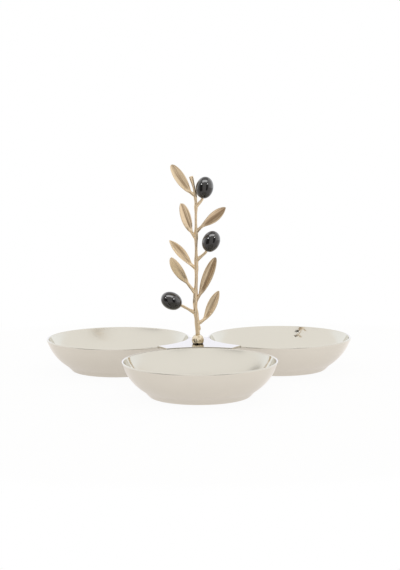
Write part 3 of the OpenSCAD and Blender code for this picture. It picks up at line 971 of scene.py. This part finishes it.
# %% Three stalks and three olives
STALK_R, STALK_PULL, OLIVE_PULL, GLUE = 1.35 * MM, 0.5, 0.25, 0.15 * MM
STALK_STEPS, STALK_SIDES, OLIVE_SIDES = 40, 24, 96
olives = []
for i, (share, side, rise, length_share, olive_rise, lean) in enumerate(STALKS):
    z = share * STEM_H
    length = 2 * OLIVE_R * length_share
    leaves_stem, axis = heading(rise, lean, side), heading(olive_rise, lean, side)
    foot = branch_foot + stem_at(z)
    end = foot + length * leaves_stem
    way = [foot, foot + STALK_PULL * length * leaves_stem, end - OLIVE_PULL * length * axis, end]
    rings = []
    for u in spread(0, 1, STALK_STEPS):
        radius = STALK_R + flare(z, STALK_R, u * length)
        rings.append(ring(cubic(way, u), *facing(cubic_way(way, u)), radius, radius))
    name = f"olive_stalk_{i + 1}"
    stalk = carry(name + "_cast", rings, STALK_SIDES, brass, lumps=0.25 * MM, lump_scale=330.0)
    place_piece(stalk, "brass", name)
    name = f"olive_{i + 1}"
    dimple = tuple(end + (GLUE - DIMPLE_DEPTH) * axis)
    axes = (*facing(axis), axis)
    olive = turn_piece(name + "_glazed", olive_profile(), OLIVE_SIDES, dimple, glaze, axes)
    place_piece(olive, "olive_black", name)
    olives.append(olive)

# %% [markdown]
# ## Screw and washer
# These two lie under the plate and hold the branch. Their CAD shapes are right as they are, so they stay
# and only get the steel finish.

# %% Steel on the CAD nodes
for node in ("fixing_screw", "screw_washer"):
    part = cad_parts[node]
    part.data.materials.clear()
    part.data.materials.append(steel)
print("steel on the screw and the washer")

# %% [markdown]
# ## Floor and room
# Bright metal shows the room more than itself, so the room is the main part of its look. The photo was
# taken in a white tent: white above and around, a little blue behind, and dark to both sides of the
# camera. For the camera the floor and the room are white. The floor shows in reflections too. Near the
# dish it keeps a part of its own shading, and so the shadow.

# %% The dark sides of the room
WHITE, DARK = (1.0, 1.0, 1.0), (0.06, 0.055, 0.05)
# Each dark side by the sine of its angle from straight ahead: where it begins, is full, fades and ends
DARK_LEFT, DARK_RIGHT = (0.42, 0.55, 0.90, 0.98), (0.24, 0.36, 0.60, 0.75)
# Keeps the sum under the root above 0
ABOVE_ZERO = 0.0001


def band(value, begins, full, fades, ends):
    return value.ease(begins, full) * (1.0 - value.ease(fades, ends))


def dark_sides(x, y):
    """1 in two sectors before the dish: a wide one left of the camera and a narrow one right of it."""
    sideways = x / (x * x + y * y + ABOVE_ZERO).sum("SQRT")
    return (band(0.0 - sideways, *DARK_LEFT) + band(sideways, *DARK_RIGHT)) * (0.0 - y).ease(0.02, 0.1)


print("two dark sides")

# %% The floor's colour
FLOOR_HALF = 8
LEFT_TINT, RIGHT_TINT = (1.02, 0.965, 0.94), (1.12, 1.065, 1.045)
BACK_TINT = (1.04, 1.06, 1.09)
mesh = bpy.data.meshes.new("floor")
corners = [(x * FLOOR_HALF, y * FLOOR_HALF, 0) for x, y in ((-1, -1), (1, -1), (1, 1), (-1, 1))]
mesh.from_pydata(corners, [], [(0, 1, 2, 3)])
floor = add_object("floor", mesh)
floor_paper, graph, shader = finish("floor_paper", (0.86, 0.84, 0.82), roughness=0.9, metallic=0.0)
path = graph.add("ShaderNodeLightPath")
x, y, _ = graph.xyz(object_place(graph))
away = (x * x + y * y).sum("SQRT")
tint = graph.mix(x.ease(-0.12, 0.02), LEFT_TINT, RIGHT_TINT)
tint = graph.mix(y.ease(0.15, 0.5), tint, BACK_TINT)
tint = graph.mix(dark_sides(x, y) * away.ease(0.24, 0.34), tint, DARK)
tint = graph.mix(path["Is Camera Ray"], tint, WHITE)
print("floor laid")

# %% The floor's white and its shadow
# How plain the floor is near the dish in a reflection, and how much plainer it is for the camera
PLAIN_IN_METAL, PLAINER_FOR_CAMERA = 0.61, 0.34
# How far from the dish's middle the shadow begins to fade, and where it is gone
SHADOW_FADES, SHADOW_GONE = 0.12, 0.45
glow = graph.add("ShaderNodeEmission", inputs={"Color": tint, "Strength": 1.0})
seen = path["Is Camera Ray"] + path["Is Glossy Ray"] + path["Is Transmission Ray"]
near = PLAIN_IN_METAL + PLAINER_FOR_CAMERA * path["Is Camera Ray"]
plain = seen.sum("MINIMUM", 1.0) * near.sum("MAXIMUM", away.ease(SHADOW_FADES, SHADOW_GONE))
shaded = Value(graph, shader, shader.outputs[0])
paper = graph.add("ShaderNodeMixShader", inputs={0: plain, 1: shaded, 2: glow})
link(graph, paper, graph.tree.nodes["Material Output"], "Surface")
mesh.materials.append(floor_paper)
print("made", floor_paper.name)

# %% The room
TENT, TENT_BEHIND, TENT_MIDDLE = (1.0, 0.985, 0.965), (1.05, 1.07, 1.09), (1.07, 1.08, 1.20)
# The tent is plain from a height on, by the sine of its angle: where that begins, and where it is full
TENT_PLAIN = (0.28, 0.40)
world = bpy.data.worlds.new("white_tent")
bpy.context.scene.world = world
world.use_nodes = True
graph = Graph(world.node_tree)
path = graph.add("ShaderNodeLightPath")
x, y, z = graph.xyz(graph.add("ShaderNodeTexCoord", output="Generated"))
low = 1.0 - z.ease(*TENT_PLAIN)
behind = y.ease(0.0, 0.5) * low
middle_strip = 1.0 - (x * x).ease(0.01, 0.06)
room = graph.mix(behind, TENT, TENT_BEHIND)
room = graph.mix(behind * middle_strip, room, TENT_MIDDLE)
room = graph.mix(dark_sides(x, y) * low, room, DARK)
sight = graph.mix(path["Is Camera Ray"], room, WHITE)
sky = graph.add("ShaderNodeBackground", inputs={"Color": sight, "Strength": 1.0})
link(graph, sky, graph.tree.nodes["World Output"], "Surface")
print("room made:", world.name)

# %% [markdown]
# ## Lamps on the olives
# The olives show five lamps: a tall soft panel on each side, a soft one above and a small one to each
# side of the camera. In the bowls their images would be hot spots, which a photographer keeps off with
# flags. Light linking does the same: the lamps light one collection only.

# %% Lamps
LAMPS_AIM = Vector((0, 0, 0.14))
lit = bpy.data.collections.new("lit_by_lamps")
for piece in olives:
    lit.objects.link(piece)


def soft_lamp(name, at, size, power):
    data = bpy.data.lights.new(name, "AREA")
    data.shape, data.size, data.size_y, data.energy = "RECTANGLE", *size, power
    lamp = add_object(name, data)
    lamp.location = at
    lamp.rotation_euler = (LAMPS_AIM - Vector(at)).to_track_quat("-Z", "Y").to_euler()
    lamp.light_linking.receiver_collection = lit
    print("lamp", name, "of", power, "W")


soft_lamp("left_panel", (-0.9, 0.6, 0.5), (1.2, 1.6), 5)
soft_lamp("right_panel", (0.9, 0.1, 0.5), (1.6, 1.6), 8)
soft_lamp("left_lamp", (-1.0, -0.75, 0.75), (0.16, 0.16), 2.4)
soft_lamp("right_lamp", (0.8, -0.95, 0.75), (0.16, 0.16), 2.4)
soft_lamp("top_lamp", (-0.05, -0.55, 1.2), (1.4, 0.6), 15)

# %% [markdown]
# ## View
# The Standard view shows a colour as it is written.

# %% The view
bpy.context.scene.view_settings.view_transform = "Standard"
